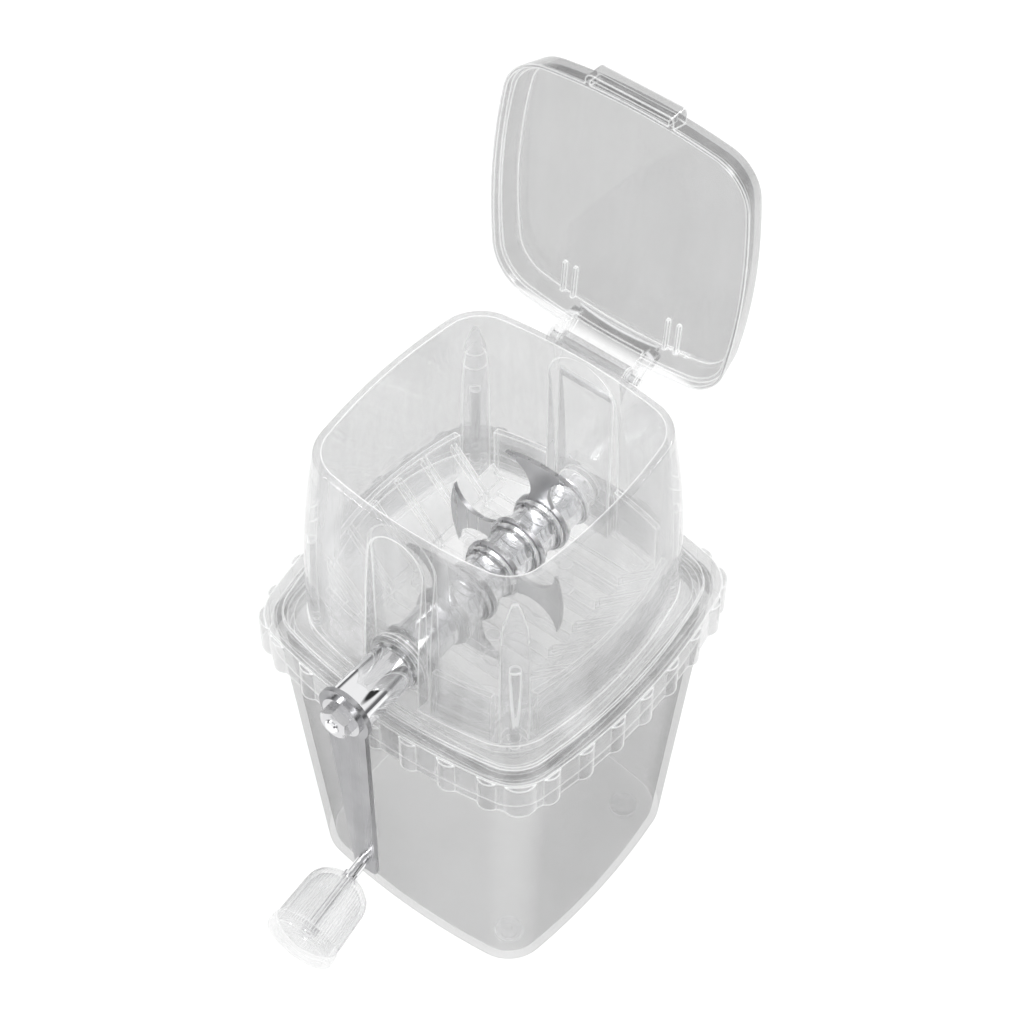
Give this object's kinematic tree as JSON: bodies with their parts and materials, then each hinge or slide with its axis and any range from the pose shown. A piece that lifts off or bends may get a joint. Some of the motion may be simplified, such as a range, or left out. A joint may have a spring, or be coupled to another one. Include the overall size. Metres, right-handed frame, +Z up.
{
  "type": "hand crank ice crusher",
  "caption": "Clear tabletop ice crusher: lidded hopper with a hand-cranked bladed shaft over a comb bed, standing on a lift-off collecting bin.",
  "frame": {"origin": "bottom centre of the whole crusher's box, crank and open lid included, in the plane its four feet stand on; the bin's own centre line is at Y = +19.4 mm", "axes": "+Z up, -Y towards the crank, +Y towards the lid hinge, +X to the right seen from the crank"},
  "size_m": [0.1232, 0.179, 0.294],
  "materials": {
    "clear_shell": "clear moulded plastic, gloss",
    "clear_insert": "clear moulded plastic, gloss",
    "soft_pad": "clear soft bumper",
    "steel": "satin stainless",
    "polished": "polished"
  },
  "bodies": {
    "base": {"container": "clear_shell", "foot_pads": "soft_pad"},
    "hopper_unit": {"hopper": "clear_shell", "crushing_bed": "clear_insert", "bed_screws": "clear_insert", "front_bearing": "clear_insert", "back_bearing": "clear_insert", "hinge_pin": "clear_insert"},
    "lid": {"lid": "clear_shell"},
    "crank": {"drive_shaft": "polished", "drive_sleeve": "polished", "crank_arm": "steel", "crank_washer": "polished", "crank_nut": "polished", "handle_pin": "polished", "knob_nut": "polished", "blade_1": "steel", "blade_2": "steel", "blade_3": "steel", "blade_4": "steel", "blade_5": "steel", "spacer_1": "clear_insert", "spacer_2": "clear_insert", "spacer_3": "clear_insert", "spacer_4": "clear_insert", "spacer_5": "clear_insert", "spacer_6": "clear_insert"},
    "knob": {"handle_knob": "clear_insert", "knob_cap": "clear_insert"}
  },
  "joints": [
    {"name": "hopper_lift", "type": "slide", "parent": "base", "child": "hopper_unit", "axis": [0, 0, 1], "range_m": [0, 0.12]},
    {"name": "lid_hinge", "type": "hinge", "parent": "hopper_unit", "child": "lid", "pos_m": [0, 0.06821, 0.1969], "axis": [1, 0, 0], "range_deg": [0, 95]},
    {"name": "crank_turn", "type": "hinge", "parent": "hopper_unit", "child": "crank", "pos_m": [0, 0.01941, 0.1418], "axis": [0, -1, 0], "continuous": true},
    {"name": "knob_spin", "type": "hinge", "parent": "crank", "child": "knob", "pos_m": [0.00445, -0.05239, 0.06693], "axis": [0.0909, -0.9938, -0.0642], "continuous": true}
  ]
}
